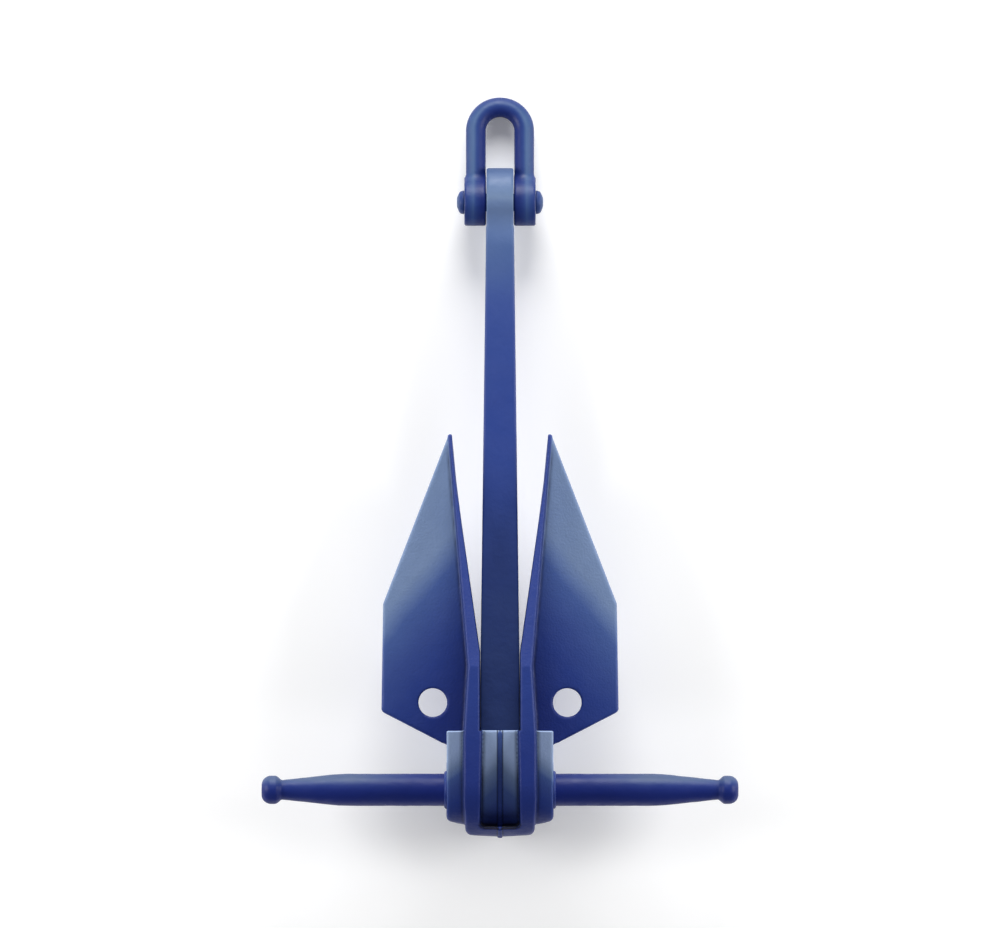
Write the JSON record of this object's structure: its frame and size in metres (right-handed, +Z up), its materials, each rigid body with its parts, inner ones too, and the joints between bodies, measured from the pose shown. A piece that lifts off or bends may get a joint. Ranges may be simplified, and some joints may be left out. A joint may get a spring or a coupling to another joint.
{
  "type": "twin fluke anchor",
  "caption": "Ship's anchor: cast flukes that share a crown, a round stock through the crown, a shank that swings on it between the flukes, and a chain shackle.",
  "frame": {"origin": "centre of the footprint of the anchor as it lies on a floor, at the floor's height", "axes": "+X along the stock, +Y from the stock towards the shackle, +Z up, square to the plane of the flukes"},
  "size_m": [1.3, 2.0214, 0.41],
  "materials": {
    "fluke_paint": "blue marine paint over a cast surface",
    "stock_paint": "blue marine paint over a forged bar",
    "weld_paint": "blue marine paint over weld metal",
    "shank_paint": "blue marine paint over a forging",
    "shackle_paint": "blue marine paint over a forging",
    "pin_paint": "blue marine paint over a riveted pin"
  },
  "bodies": {
    "head": {"left_fluke": "fluke_paint", "right_fluke": "fluke_paint", "stock": "stock_paint", "upper_palm_weld": "weld_paint", "lower_palm_weld": "weld_paint", "rim_weld": "weld_paint", "left_stock_weld": "weld_paint", "right_stock_weld": "weld_paint"},
    "shank": {"shank": "shank_paint"},
    "shackle": {"shackle_bow": "shackle_paint", "shackle_pin": "pin_paint"}
  },
  "joints": [
    {"name": "fluke_swing", "type": "hinge", "parent": "head", "child": "shank", "pos_m": [0, -0.8795, 0.205], "axis": [1, 0, 0], "range_deg": [-25.5, 34.4]},
    {"name": "shackle_swing", "type": "hinge", "parent": "shank", "child": "shackle", "pos_m": [0, 0.7237, 0.0811], "axis": [1, 0, 0], "range_deg": [-150.7, 165.3]}
  ]
}
